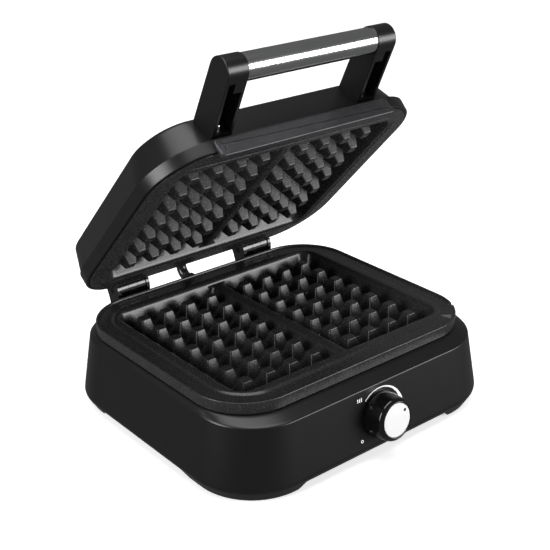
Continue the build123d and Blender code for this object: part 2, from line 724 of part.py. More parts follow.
def lid_inner():
    low = (lid_w - 2 * wall, RIM[1] - 2 * wall, RIM[2], lid_corner - wall, lid_bottom - 0.01)
    ledge = lid_level(lid_w - 2 * wall, lid_back + wall, lid_front - wall, lid_corner - wall,
                      band_h - 2.6)
    under = lid_level(lid_w - 2 * wall, lid_back + wall, lid_front - band_step - wall,
                      lid_corner - wall, band_h)
    h = roof_h - wall
    roof_w = lid_w - 2 * roof_in_x * (h - band_h) / (roof_h - band_h)
    roof = lid_level(roof_w - 2 * wall, lid_back + wall, front_d(h) - wall, roof_corner - wall, h)
    crown = level(CROWN[0], CROWN[1], CROWN[2], CROWN[3], crown_h - wall)
    return stack([low, ledge, under, roof, crown])


def lid_shell():
    low = stack([RIM, BAND])
    high = stack(softened([STEP, ROOF, CROWN], 1, 3.0))
    shell = low + high
    posts = [rod(lid_post_r, post_low, crown_h - wall / 2, x, y - lid_d) for x, y in boss_at]
    shell = shell - lid_inner() + posts
    pilot = screw_r + 0.3
    head_seat = post_low + 4.0
    for x, y in boss_at:
        shell -= rod(pilot, post_low - 1, crown_h + 1, x, y - lid_d)
        shell -= rod(cap_r, head_seat, crown_h + 1, x, y - lid_d)
    for sx in (-1, 1):
        for dx in (-lid_screw_dx, lid_screw_dx):
            shell -= rear_hole(sx * hinge_x + dx, screw_r + thread_gap, -5, 2)
        for h in arm_screw_h:
            shell -= lid_front_plane(sx * arm_mid, h) * rod(screw_r + thread_gap, -6, 2)
    for x in strip_screw_x:
        place = Plane(origin=(x, -lid_front, strip_screw_h), x_dir=(1, 0, 0), z_dir=(0, -1, 0))
        shell -= place * rod(1.25, -6, 2)
    shell -= rear_hole(0, conduit_r + conduit_fit, -5, 2, conduit_h)
    return OPEN * shell


def upper_plate_screws():
    seat = post_low + 4.0
    flip = Rot(180, 0, 0)
    return [OPEN * Pos(x, y - lid_d, 0) * flip * screw(-seat, -post_low + sheet + 7)
            for x, y in boss_at]


def lid_screw_caps():
    """Plugs that close the screw wells, level with the crown."""
    caps = []
    for x, y in boss_at:
        cap = rod(cap_r - 0.1, crown_h - 4, crown_h, x, y - lid_d)
        caps.append(OPEN * chamfer(cap.edges().group_by(Axis.Z)[-1], 0.3))
    return caps


def front_lip():
    """The strip along the lid's front, hiding the joint when it is closed."""
    side = make_face(Polyline((-lid_front, strip_low), (-lid_front - strip_t, strip_low),
                              (-lid_front - strip_top_t, strip_high), (-lid_front, strip_high),
                              (-lid_front, strip_low)))
    strip = plate_x(side, -strip_w / 2, strip_w / 2)
    strip &= Pos(0, -lid_front, 0) * Rot(90, 0, 0) * slab(
        strip_w, strip_high - strip_low, 3.0, -5, 10, (strip_high + strip_low) / 2)
    strip = chamfer(strip.faces().sort_by(Axis.Y)[0].edges(), 0.6)
    for x in strip_screw_x:
        place = Plane(origin=(x, -lid_front, strip_screw_h), x_dir=(1, 0, 0), z_dir=(0, -1, 0))
        strip -= place * rod(1.25, -1, 1.9)
    return OPEN * strip


def front_lip_screws():
    screws = []
    for x in strip_screw_x:
        place = Plane(origin=(x, -lid_front, strip_screw_h), x_dir=(1, 0, 0), z_dir=(0, -1, 0))
        thread = rod(1.2, -wall, 1.7) + rod(1.7, -wall - 1.6, -wall)
        screws.append(OPEN * (place * thread))
    return screws


# ---- handle ----
def arm_outline():
    """Side of an arm in Y and Z of the lid frame, tangent to its round end."""
    top, low = radians(arm_top_angle), radians(arm_low_angle)
    c_d, c_h, r = arm_end_d, arm_end_h, arm_end_r
    p_top = (-(c_d - r * sin(top)), c_h + r * cos(top))
    p_low = (-(c_d + r * sin(low)), c_h - r * cos(low))
    p_far = (-(c_d + r), c_h)
    base_top_h = roof_h - 0.1
    d_top = front_d(base_top_h)
    h_top = p_top[1] - (-p_top[0] - d_top) * (sin(top) / cos(top))
    # the lower line meets the wall where both reach the same depth
    lean = front_slope()
    slope = sin(low) / cos(low)
    h_low = (p_low[1] - slope * (-p_low[0] - front_d(0))) / (1 - slope * lean)
    a, b = (-front_d(h_top), h_top), (-front_d(h_low), h_low)
    edges = [Line(a, p_top), ThreePointArc(p_top, p_far, p_low), Line(p_low, b), Line(b, a)]
    return make_face(Curve() + edges), p_low, b


def handle_arm(side):
    outline, p_low, b = arm_outline()
    inner, outer = arm_x - arm_w, arm_x
    arm = plate_x(outline, inner, outer)
    arm = fillet(arm.edges().filter_by(GeomType.CIRCLE), 0.8)
    low = radians(arm_low_angle)
    out = (-cos(low), sin(low))                  # along the underside, outwards
    up = (sin(low), cos(low))                    # square to it, into the arm

    def along(s, t):
        return (b[0] + out[0] * s + up[0] * t, b[1] + out[1] * s + up[1] * t)

    length = hypot(p_low[0] - b[0], p_low[1] - b[1])
    web = arm_skin + 1.6
    # the slot leaves a web on the lid wall and a skin under the top
    long_slot = make_face(Polyline(along(web, -3), along(web - 1.0, slot_deep),
                                   along(length - 16, slot_deep), along(length - 13, -3),
                                   along(web, -3)))
    end_slot = make_face(Polyline(along(length - 20, -3), along(length - 20, slot_deep - 4),
                                  along(length - 6.5, slot_deep - 6), along(length - 4, -3),
                                  along(length - 20, -3)))
    arm -= plate_x(long_slot, inner + arm_skin, outer - arm_skin)
    arm -= plate_x(end_slot, inner + tube_in + arm_skin, outer - arm_skin)
    arm -= rod_x(tube_r + thread_gap, inner - 1, inner + tube_in, -arm_end_d, arm_end_h)
    for h in arm_screw_h:
        arm -= lid_front_plane(arm_mid, h) * rod(screw_r + thread_gap, -1, 8)
    if side < 0:
        arm = mirror(arm, Plane.YZ)
    return OPEN * arm


def handle_screws():
    """Screws through each arm's web into the lid wall, heads inside the slot."""
    screws = []
    for sx in (-1, 1):
        low = lid_front_plane(sx * arm_mid, arm_screw_h[0])
        screws.append(OPEN * (low * Rot(180, 0, 0) * screw(-head_seat_low, wall + 2.0)))
        high = lid_front_plane(sx * arm_mid, arm_screw_h[1])
        screws.append(OPEN * (high * screw(-lid_front_n, 3.0)))
    return screws


head_seat_low = arm_skin + 1.9


def handle_tube():
    half = arm_x - arm_w + tube_in - thread_gap
    tube = rod_x(tube_r, -half, half, -arm_end_d, arm_end_h)
    tube -= rod_x(tube_r - tube_wall, -half - 1, half + 1, -arm_end_d, arm_end_h)
    return OPEN * tube


# ---- conduit and glands ----
conduit_h = 14.0                                 # on the lid's rear wall
conduit_z = 67.0                                 # on the base
conduit_start, conduit_bend = 123.0, 12.0


def conduit_route():
    """Straight out to the rear, one bend, and straight up into the lid's rear wall."""
    a = radians(open_angle)
    y_wall = hinge_y - lid_back * cos(a) + conduit_h * sin(a)
    z_wall = hinge_z + lid_back * sin(a) + conduit_h * cos(a)
    run = (z_wall - conduit_z) / sin(a)
    corner = (0, y_wall + run * cos(a), conduit_z)
    inside = (0, y_wall - 2.0 * cos(a), z_wall + 2.0 * sin(a))
    return [(0, conduit_start, conduit_z), corner, inside]


def wiring_conduit():
    path = FilletPolyline(*conduit_route(), radius=conduit_bend)
    ring = Plane(origin=path @ 0, z_dir=path % 0) * Circle(conduit_r)
    return sweep(ring, path=path)


def conduit_bore():
    """Blind bore that holds the conduit in its gland and the shoulder behind it."""
    start, end = conduit_start - 0.5, block_back + 20.0
    bore = Cylinder(conduit_r + conduit_fit, end - start)
    return Pos(0, (start + end) / 2, conduit_z) * Rot(90, 0, 0) * bore


def conduit_gland_base():
    front = plate_y + low_rim_d / 2 + 0.8
    body = block(-block_w / 2, block_w / 2, front, block_back, base_h - 9.0, block_top)
    body = fillet(body.edges().filter_by(Axis.Y), 2.0)
    collar = Pos(0, block_back + 2.5, conduit_z) * Rot(90, 0, 0) * Cylinder(6.6, 5.0)
    return body + collar - base_outer() - conduit_bore()


def conduit_gland_lid():
    body = block(-block_w / 2, block_w / 2, -lid_back, -lid_back + 4.0, conduit_h - 9.0,
                 conduit_h + 9.0)
    body = fillet(body.edges().filter_by(Axis.Y), 3.0)
    body += rear_hole(0, 6.6, 0, 7.5, conduit_h)
    return OPEN * (body - rear_hole(0, conduit_r + conduit_fit, -1, 10, conduit_h))


def mains_cord_gland():
    """Flanged bush in the rear wall with a round outlet for the supply lead."""
    gland = rod(gland_r, 0, 3) + rod(gland_r / 2 + 2, -wall - 6, 2) + rod(6.4, 2, 8)
    gland = chamfer(gland.edges().group_by(Axis.Z)[-1], 0.8)
    gland -= rod(3.5, -30, 30)
    return back_plane(gland_x, gland_z) * gland


def conduit_lines(points, radius, r):
    path = FilletPolyline(*points, radius=radius)
    ring = Plane(origin=path @ 0, z_dir=path % 0) * Circle(r)
    return sweep(ring, path=path)


# ---- electrical parts inside the base ----
floor_z = cover_z + cover_t


def terminal_block():
    body = block(50, 90, 70, 84, floor_z, floor_z + 12)
    wells = [rod(2.2, floor_z + 6, floor_z + 20, 55 + 10 * i, 77) for i in range(4)]
    return body - wells


def thermal_fuse():
    """A fuse in its clip, pressed on the underside of the lower reflector."""
    under = tips_z - low_depth - sheet
    clip = block(30, 36, 38, 54, under - 5, under)
    fuse = Pos(33, 46, under - 5 - 3.0) * Rot(90, 0, 0) * Cylinder(3.0, 22)
    return clip + fuse


def base_wiring():
    """Leads between cord gland, terminal block and thermostat."""
    z = floor_z + 4
    lead = conduit_lines([(78, 119, 29), (78, 100, 29), (78, 96, floor_z + 8),
                          (78, 84.3, floor_z + 8)], 3.0, 1.6)
    tab = FRONT * Pos(7, 0, body_front - 22.3)
    end = tab.position
    run = conduit_lines([(55, 69.7, z), (55, 20, z), (7, -40, z), (7, end.Y + 12, z),
                         (7, end.Y + 3, end.Z), (7, end.Y + 0.3, end.Z)], 4.0, 1.6)
    return [lead, run]


def lid_fuse():
    """The lid's fuse on the back of its reflector."""
    top = tip_gap_h + up_depth + sheet
    clip = block(-36, -30, -lid_d - 8, -lid_d + 8, top, top + 2)
    fuse = Pos(-33, -lid_d, top + 2 + 2.6) * Rot(90, 0, 0) * Cylinder(2.6, 20)
    return OPEN * (clip + fuse)


def build():
    open_all = [OPEN * UP * p for p in pegs()]
    nodes = {
        "base_shell": base_shell(),
        "bottom_cover": bottom_cover(),
        "rubber_feet": rubber_feet(),
        "bottom_cover_screws": bottom_cover_screws(),
        "lower_plate": lower_plate(),
        "lower_plate_pegs": [LOW * p for p in pegs()],
        "lower_plate_washers": lower_plate_washers(),
        "lower_plate_screws": lower_plate_screws(),
        "lower_heating_element": LOW * heater(),
        "lower_heat_reflector": lower_reflector(),
        "lower_reflector_screws": reflector_screws(),
        "thermostat_body": thermostat_body(),
        "thermostat_bushing": thermostat_bushing(),
        "thermostat_nut": thermostat_nut(),
        "dial_marks": dial_marks(),
        "thermal_fuse": thermal_fuse(),
        "terminal_block": terminal_block(),
        "base_wiring": base_wiring(),
        "mains_cord_gland": mains_cord_gland(),
        "base_hinge_brackets": base_hinge_brackets(),
        "base_hinge_screws": base_hinge_screws(),
        "hinge_pins": hinge_pins(),
        "conduit_gland_base": conduit_gland_base(),
        "wiring_conduit": wiring_conduit(),
        "lid_shell": lid_shell(),
        "upper_plate": OPEN * upper_plate(),
        "upper_plate_pegs": open_all,
        "upper_plate_screws": upper_plate_screws(),
        "lid_screw_caps": lid_screw_caps(),
        "upper_heating_element": OPEN * UP * heater(),
        "upper_heat_reflector": OPEN * upper_reflector(),
        "lid_thermal_fuse": lid_fuse(),
        "front_lip": front_lip(),
        "front_lip_screws": front_lip_screws(),
        "handle_arm_left": handle_arm(-1),
        "handle_arm_right": handle_arm(1),
        "handle_tube": handle_tube(),
        "handle_screws": handle_screws(),
        "lid_hinge_brackets": lid_hinge_brackets(),
        "lid_hinge_screws": lid_hinge_screws(),
        "conduit_gland_lid": conduit_gland_lid(),
        "control_knob": control_knob(),
        "knob_face_disc": knob_face_disc(),
        "knob_pointer_dot": FRONT * knob_dot(0.1),
        "thermostat_shaft": thermostat_shaft(),
    }
    return nodes


os.makedirs("parts", exist_ok=True)
for name, shape in build().items():
    solids = shape if isinstance(shape, list) else [shape]
    whole = Compound(children=[s for piece in solids for s in piece.solids()])
    export_step(whole, f"parts/{name}.step")
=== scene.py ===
"""Looks of a twin-plate waffle maker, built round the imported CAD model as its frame."""
import json
import logging
from dataclasses import dataclass, field
from enum import Enum
from math import cos, pi, radians, sin
from typing import Iterable, Sequence

import bmesh
import bpy
import numpy as np
from mathutils import Matrix, Vector

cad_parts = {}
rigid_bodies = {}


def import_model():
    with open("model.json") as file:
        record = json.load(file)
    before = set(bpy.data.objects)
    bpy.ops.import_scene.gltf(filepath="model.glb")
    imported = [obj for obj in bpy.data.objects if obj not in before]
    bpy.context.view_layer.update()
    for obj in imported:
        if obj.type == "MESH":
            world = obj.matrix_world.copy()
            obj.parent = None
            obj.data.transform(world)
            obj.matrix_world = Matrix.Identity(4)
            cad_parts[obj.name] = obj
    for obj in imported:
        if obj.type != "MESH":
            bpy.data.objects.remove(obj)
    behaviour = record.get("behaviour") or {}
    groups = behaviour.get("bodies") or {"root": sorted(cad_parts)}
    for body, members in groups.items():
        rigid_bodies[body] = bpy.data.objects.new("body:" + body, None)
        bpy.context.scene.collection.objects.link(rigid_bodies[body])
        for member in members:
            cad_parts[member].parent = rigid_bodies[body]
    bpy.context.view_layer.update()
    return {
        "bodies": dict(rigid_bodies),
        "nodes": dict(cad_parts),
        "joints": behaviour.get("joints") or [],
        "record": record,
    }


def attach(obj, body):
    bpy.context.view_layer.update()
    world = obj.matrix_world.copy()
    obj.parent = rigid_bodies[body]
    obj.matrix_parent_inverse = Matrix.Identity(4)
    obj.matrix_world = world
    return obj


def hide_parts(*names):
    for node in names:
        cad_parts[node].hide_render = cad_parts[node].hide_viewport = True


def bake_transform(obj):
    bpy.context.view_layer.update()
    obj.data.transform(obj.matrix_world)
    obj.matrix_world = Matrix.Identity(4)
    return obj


LOG = logging.getLogger("waffle_maker")
MM = 0.001
BASE, LID, KNOB = "base", "lid", "knob"

# ---- shared sizes, in millimetres, as the CAD model has them ----
HINGE_Y, HINGE_Z, OPEN_ANGLE = 130.8, 84.0, 46.5
PLATE_Y, TIPS_Z = 3.5, 78.0
PEG_PITCH, PEG_COLS, PEG_ROWS, FIRST_COLUMN_X = 24.0, 4, 7, 20.75
UPPER_TIPS_H = -2.0
KNOB_AXIS_Y, KNOB_AXIS_Z = -129.597, 37.6
WALL_LEAN = 7.1 / 53.0
CORNER_STEPS, SIDE_STEPS = 22, 96


# ---- places ----
def turn_x(angle: float) -> np.ndarray:
    """Matrix of a turn about +X by an angle in degrees."""
    c, s = cos(radians(angle)), sin(radians(angle))
    return np.array([[1, 0, 0], [0, c, -s], [0, s, c]])


@dataclass(frozen=True)
class Place:
    """A rigid place: a turn followed by a shift, in millimetres."""

    turn: np.ndarray
    shift: Sequence[float]

    def __call__(self, points: np.ndarray) -> np.ndarray:
        """Points carried from the local frame to the world frame."""
        return points @ self.turn.T + np.asarray(self.shift, float)

    def then(self, outer: "Place") -> "Place":
        """This place followed by an outer one."""
        return Place(outer.turn @ self.turn, outer(np.asarray([self.shift], float))[0])


WORLD = Place(np.eye(3), (0, 0, 0))
LOWER = Place(np.eye(3), (0, PLATE_Y, TIPS_Z))
OPEN = Place(turn_x(-OPEN_ANGLE), (0, HINGE_Y, HINGE_Z))
UPPER = Place(turn_x(180), (0, PLATE_Y - HINGE_Y, UPPER_TIPS_H)).then(OPEN)
FRONT_NORMAL = np.array([0, -1, WALL_LEAN]) / np.hypot(1, WALL_LEAN)
FRONT_UP = np.cross(FRONT_NORMAL, [1, 0, 0])
FRONT = Place(np.column_stack([[1, 0, 0], FRONT_UP, FRONT_NORMAL]), (0, KNOB_AXIS_Y, KNOB_AXIS_Z))


# ---- meshes ----
def add_mesh(name: str, points: np.ndarray, faces: list, place: Place,
             smooth: float = 40.0) -> bpy.types.Object:
    """A mesh object in metres, outward facing, smooth up to an angle.

    Args:
        name: the piece's name.
        points: array (n, 3) in the local frame, in millimetres.
        faces: lists of point numbers.
        place: where the local frame lies.
        smooth: edges flatter than this many degrees are shaded smooth.

    Returns:
        The new object, linked to the scene.
    """
    mesh = bpy.data.meshes.new(name)
    mesh.from_pydata((place(points) * MM).tolist(), [], faces)
    work = bmesh.new()
    work.from_mesh(mesh)
    bmesh.ops.remove_doubles(work, verts=work.verts, dist=1e-6)
    bmesh.ops.recalc_face_normals(work, faces=work.faces)
    work.to_mesh(mesh)
    work.free()
    mesh.shade_smooth()
    mesh.set_sharp_from_angle(angle=radians(smooth))
    piece = bpy.data.objects.new(name, mesh)
    bpy.context.scene.collection.objects.link(piece)
    weight = piece.modifiers.new("even_normals", "WEIGHTED_NORMAL")
    weight.keep_sharp = True
    weight.weight = 80
    return piece


def grid_faces(rows: int, cols: int, start: int = 0, caps: bool = True) -> list:
    """Quads of a grid that is closed along its columns, with its end rows capped.

    Args:
        rows: number of rings.
        cols: points in one ring.
        start: number of the first point.
        caps: whether the first and last ring are filled.

    Returns:
        Lists of point numbers.
    """
    i, j = np.meshgrid(np.arange(rows - 1), np.arange(cols), indexing="ij")
    nxt = (j + 1) % cols
    quads = np.stack([i * cols + j, i * cols + nxt, (i + 1) * cols + nxt, (i + 1) * cols + j], -1)
    faces = (quads.reshape(-1, 4) + start).tolist()
    if caps:
        faces.append((start + np.arange(cols))[::-1].tolist())
        faces.append((start + (rows - 1) * cols + np.arange(cols)).tolist())
    return faces


def eased(corners: Sequence[Sequence[float]], reaches: Sequence[float], steps: int = 5) -> np.ndarray:
    """A profile with its corners rounded.

    Each inner corner becomes a quadratic Bezier curve between the points that lie
    its reach away on both sides: P(t) = (1-t)^2 A + 2t(1-t) C + t^2 B.

    Args:
        corners: rows of profile values; the last value is the height.
        reaches: distance from each corner at which its curve starts.
        steps: segments in each curve.

    Returns:
        Array of profile rows.
    """
    pts = np.asarray(corners, float)
    rows = [pts[0]]
    t = np.linspace(0, 1, steps + 1)[:, None]
    for k in range(1, len(pts) - 1):
        before, here, after = pts[k - 1], pts[k], pts[k + 1]
        if reaches[k] <= 0:
            rows.append(here)
            continue
        size_a = np.hypot(*(before - here)[[0, -1]]) or np.linalg.norm(before - here)
        size_b = np.hypot(*(after - here)[[0, -1]]) or np.linalg.norm(after - here)
        a = here + (before - here) * min(reaches[k] / size_a, 0.49)
        b = here + (after - here) * min(reaches[k] / size_b, 0.49)
        rows.extend((1 - t) ** 2 * a + 2 * t * (1 - t) * here + t ** 2 * b)
    rows.append(pts[-1])
    return np.asarray(rows)


def ring_pattern(corner_steps: int, side_steps: int) -> np.ndarray:
    """Rows of (quadrant, turn within it from 0 to 1, share of the side after it) round one ring."""
    rows = []
    for quadrant in range(4):
        arc = np.linspace(0, 1, corner_steps + 1)
        rows += [(quadrant, a, 0.0) for a in arc]
        rows += [(quadrant, 1.0, s) for s in np.linspace(0, 1, side_steps + 1)[1:-1]]
    return np.asarray(rows)


def rounded_rings(half_x: np.ndarray, y_low: np.ndarray, y_high: np.ndarray, radius: np.ndarray,
                  pattern: np.ndarray) -> np.ndarray:
    """Points of rounded rectangles, one per value, round one shared pattern.

    A corner point is its corner's centre plus the radius times (cos, sin); a side
    point is a share of the way from one corner's end to the next one's start.

    Args:
        half_x, y_low, y_high, radius: arrays that broadcast against (rows, ring).
        pattern: rows from ring_pattern.

    Returns:
        Array (rows, ring, 2).
    """
    quadrant, turn, side = pattern.T
    sign_x = np.where((quadrant == 0) | (quadrant == 3), 1.0, -1.0)
    cx = sign_x * (half_x - radius)
    cy = np.where(quadrant < 2, y_high - radius, y_low + radius)
    angle = (quadrant + turn) * pi / 2
    x, y = cx + radius * np.cos(angle), cy + radius * np.sin(angle)
    after = (quadrant + 1) % 4
    ax = np.where((after == 0) | (after == 3), 1.0, -1.0) * (half_x - radius)
    ay = np.where(after < 2, y_high - radius, y_low + radius)
    x2, y2 = ax + radius * np.cos(after * pi / 2), ay + radius * np.sin(after * pi / 2)
    return np.stack([x + (x2 - x) * side, y + (y2 - y) * side], -1)


def rings_from(profile: np.ndarray, pattern: np.ndarray) -> np.ndarray:
    """Points (rows, ring, 3) of a profile whose rows are half x, low y, high y, radius, z."""
    cols = [profile[:, k][:, None] for k in range(5)]
    flat = rounded_rings(*cols[:4], pattern)
    z = np.broadcast_to(cols[4], flat.shape[:2])
    return np.concatenate([flat, z[..., None]], -1)


def turned(name: str, profile: Sequence[Sequence[float]], place: Place, steps: int = 96,
           smooth: float = 40.0) -> bpy.types.Object:
    """A piece turned on a lathe: its profile of (radius, height) carried round Z."""
    rows = np.asarray(profile, float)
    angle = np.linspace(0, 2 * pi, steps, endpoint=False)
    x = rows[:, :1] * np.cos(angle)
    y = rows[:, :1] * np.sin(angle)
    z = np.broadcast_to(rows[:, 1:2], x.shape)
    points = np.stack([x, y, z], -1).reshape(-1, 3)
    return add_mesh(name, points, grid_faces(len(rows), steps), place, smooth)


def rounded_turn(corners: Sequence[Sequence[float]], reach: float, steps: int = 4) -> np.ndarray:
    """A lathe profile with every inner corner rounded by the same reach."""
    return eased(corners, [reach] * len(corners), steps)


# ---- materials ----
def linear(hex_value: str) -> tuple:
    """An sRGB hex colour as linear red, green, blue and alpha."""
    parts = [int(hex_value[i:i + 2], 16) / 255 for i in (0, 2, 4)]
    return tuple(c / 12.92 if c <= 0.04045 else ((c + 0.055) / 1.055) ** 2.4 for c in parts) + (1.0,)


def add_node(tree: bpy.types.NodeTree, kind: str, sockets: dict | None = None, **settings) -> bpy.types.Node:
    """Adds one node with its settings; a socket given as a socket is linked, as a value is set.

    Args:
        tree: the material's node tree.
        kind: the node's type name.
        sockets: input name or number to a value or to another node's output.
        settings: the node's own properties.

    Returns:
        The new node.
    """
    new = tree.nodes.new(kind)
    for key, value in settings.items():
        setattr(new, key, value)
    for key, value in (sockets or {}).items():
        if isinstance(value, bpy.types.NodeSocket):
            tree.links.new(value, new.inputs[key])
        else:
            new.inputs[key].default_value = value
    return new


class Grain(Enum):
    """How a surface's fine relief runs."""

    EVEN = "even"
    BRUSHED_X = "brushed along x"


@dataclass(frozen=True)
class Finish:
    """One finish: what it is, how it was made and how it looks.

    The relief is noise whose grain size is a real size in millimetres.
    """

    name: str
    colour: str
    second: str
    roughness: float
    rough_spread: float = 0.05
    metallic: float = 0.0
    ior: float = 1.5
    grain_mm: float = 0.6
    relief_mm: float = 0.01
    mottle_mm: float = 30.0
    coat: float = 0.0
    grain: Grain = Grain.EVEN
    speck: float = 0.0

    def grain_scale(self) -> tuple:
        """How the pattern is stretched along X, Y and Z."""
        if self.grain is Grain.BRUSHED_X:
            return (0.01, 1.0, 1.0)
        return (1.0, 1.0, 1.0)

    def material(self) -> bpy.types.Material:
        """The procedural material of this finish."""
        mat = bpy.data.materials.new(self.name)
        mat.use_nodes = True
        tree = mat.node_tree
        tree.nodes.clear()
        coords = add_node(tree, "ShaderNodeTexCoord")
        spread = add_node(tree, "ShaderNodeMapping", {"Vector": coords.outputs["Object"],
                                                      "Scale": self.grain_scale()})
        fine = add_node(tree, "ShaderNodeTexNoise", {"Vector": spread.outputs["Vector"],
                                                     "Scale": 1000.0 / self.grain_mm, "Detail": 3.0,
                                                     "Roughness": 0.6})
        broad = add_node(tree, "ShaderNodeTexNoise", {"Vector": spread.outputs["Vector"],
                                                      "Scale": 1000.0 / self.mottle_mm, "Detail": 2.0})
        mixed = add_node(tree, "ShaderNodeMix", {0: broad.outputs["Fac"], 6: linear(self.colour),
                                                 7: linear(self.second)}, data_type="RGBA")
        colour = mixed.outputs[2]
        if self.speck > 0:
            speck = add_node(tree, "ShaderNodeMapRange", {"Value": fine.outputs["Fac"], 1: 0.58, 2: 0.72,
                                                          3: 0.0, 4: self.speck})
            lit = add_node(tree, "ShaderNodeMix", {0: speck.outputs[0], 6: colour,
                                                   7: linear("9a9a9c")}, data_type="RGBA")
            colour = lit.outputs[2]
        rough = add_node(tree, "ShaderNodeMapRange", {"Value": fine.outputs["Fac"], 1: 0.3, 2: 0.7,
                                                      3: self.roughness - self.rough_spread,
                                                      4: self.roughness + self.rough_spread})
        bump = add_node(tree, "ShaderNodeBump", {"Height": fine.outputs["Fac"], "Strength": 1.0,
                                                 "Distance": self.relief_mm * MM})
        shader = add_node(tree, "ShaderNodeBsdfPrincipled",
                          {"Base Color": colour, "Roughness": rough.outputs[0],
                           "Normal": bump.outputs["Normal"], "Metallic": self.metallic,
                           "IOR": self.ior, "Coat Weight": self.coat, "Coat Roughness": 0.12})
        add_node(tree, "ShaderNodeOutputMaterial", {"Surface": shader.outputs["BSDF"]})
        return mat


@dataclass
class Finishes:
    """Every finish on the object, each made once."""

    # moulded ABS with a satin skin: soft broad highlights and a faint grain
    casing: Finish = Finish("satin_abs", "0a0a0b", "0e0e0f", 0.32, 0.04, grain_mm=0.7, relief_mm=0.006)
    # polished ABS: sharp highlights
    gloss: Finish = Finish("gloss_abs", "070708", "0a0a0b", 0.14, 0.03, grain_mm=1.2, relief_mm=0.002,
                           coat=0.3)
    # sprayed nonstick coating over cast aluminium: dark grey, pebbled, with light flecks.
    # The grain is drawn coarser than real so that it shows.
    coating: Finish = Finish("nonstick_coating", "2c2c2d", "373738", 0.25, 0.06, metallic=0.45,
                             grain_mm=1.4, relief_mm=0.04, mottle_mm=12.0, speck=0.16)
    # drawn and polished stainless tube: streaks along its length
    steel: Finish = Finish("polished_stainless", "c2c3c5", "d8d9da", 0.16, 0.05, metallic=1.0,
                           grain_mm=0.5, relief_mm=0.003, grain=Grain.BRUSHED_X)
    # chemically blackened steel of the hinge pins
    blackened: Finish = Finish("blackened_steel", "151516", "1d1d1e", 0.24, 0.05, metallic=0.8)
    # lacquered brushed aluminium dial face
    silver: Finish = Finish("brushed_aluminium", "e2e2e3", "eeeeef", 0.34, 0.05, metallic=0.35,
                            grain_mm=0.4, relief_mm=0.003, grain=Grain.BRUSHED_X)
    # dark anodised strip with a blasted grain
    strip: Finish = Finish("blasted_dark_aluminium", "3c3c3e", "4b4b4d", 0.38, 0.08, metallic=0.7,
                           grain_mm=1.2, relief_mm=0.03, mottle_mm=8.0, speck=0.3)
    rubber: Finish = Finish("moulded_rubber", "131313", "191919", 0.7, 0.05, grain_mm=0.8, relief_mm=0.02)
    print_white: Finish = Finish("white_print", "e6e6e6", "f0f0f0", 0.5, 0.04)
    print_black: Finish = Finish("black_print", "0c0c0c", "121212", 0.45, 0.04)
    # bright zinc plate on steel screws
    zinc: Finish = Finish("zinc_plate", "b4b6ba", "c8cacd", 0.22, 0.06, metallic=1.0, grain_mm=0.8)
    sheath: Finish = Finish("heat_tinted_sheath", "4a4641", "5b5348", 0.4, 0.08, metallic=0.9)
    sheet: Finish = Finish("aluminised_sheet", "9a9c9e", "abadaf", 0.34, 0.08, metallic=1.0, mottle_mm=5.0)
    brass: Finish = Finish("turned_brass", "b08d4a", "c29c55", 0.25, 0.06, metallic=1.0)
    ceramic: Finish = Finish("steatite", "c9c3b4", "d6d0c2", 0.6, 0.05)
    sleeve: Finish = Finish("varnished_sleeve", "1a1a1b", "262627", 0.25, 0.06, grain_mm=0.9,
                            relief_mm=0.02, coat=0.4)
    made: dict = field(default_factory=dict)

    def wear(self, piece: bpy.types.Object, finish: Finish, slot: str) -> None:
        """Dresses a new piece in a finish."""
        piece.data.materials.clear()
        piece.data.materials.append(self.material(finish))

    def material(self, finish: Finish) -> bpy.types.Material:
        """The material of a finish, made on its first use."""
        if finish.name not in self.made:
            self.made[finish.name] = finish.material()
        return self.made[finish.name]

    def dress_node(self, node: bpy.types.Object, finish: Finish) -> None:
        """Gives a CAD node a finish through its object's slot."""
        mat = self.material(finish)
        if not node.material_slots:
            node.data.materials.append(mat)
        for slot in node.material_slots:
            slot.link = "OBJECT"
            slot.material = mat


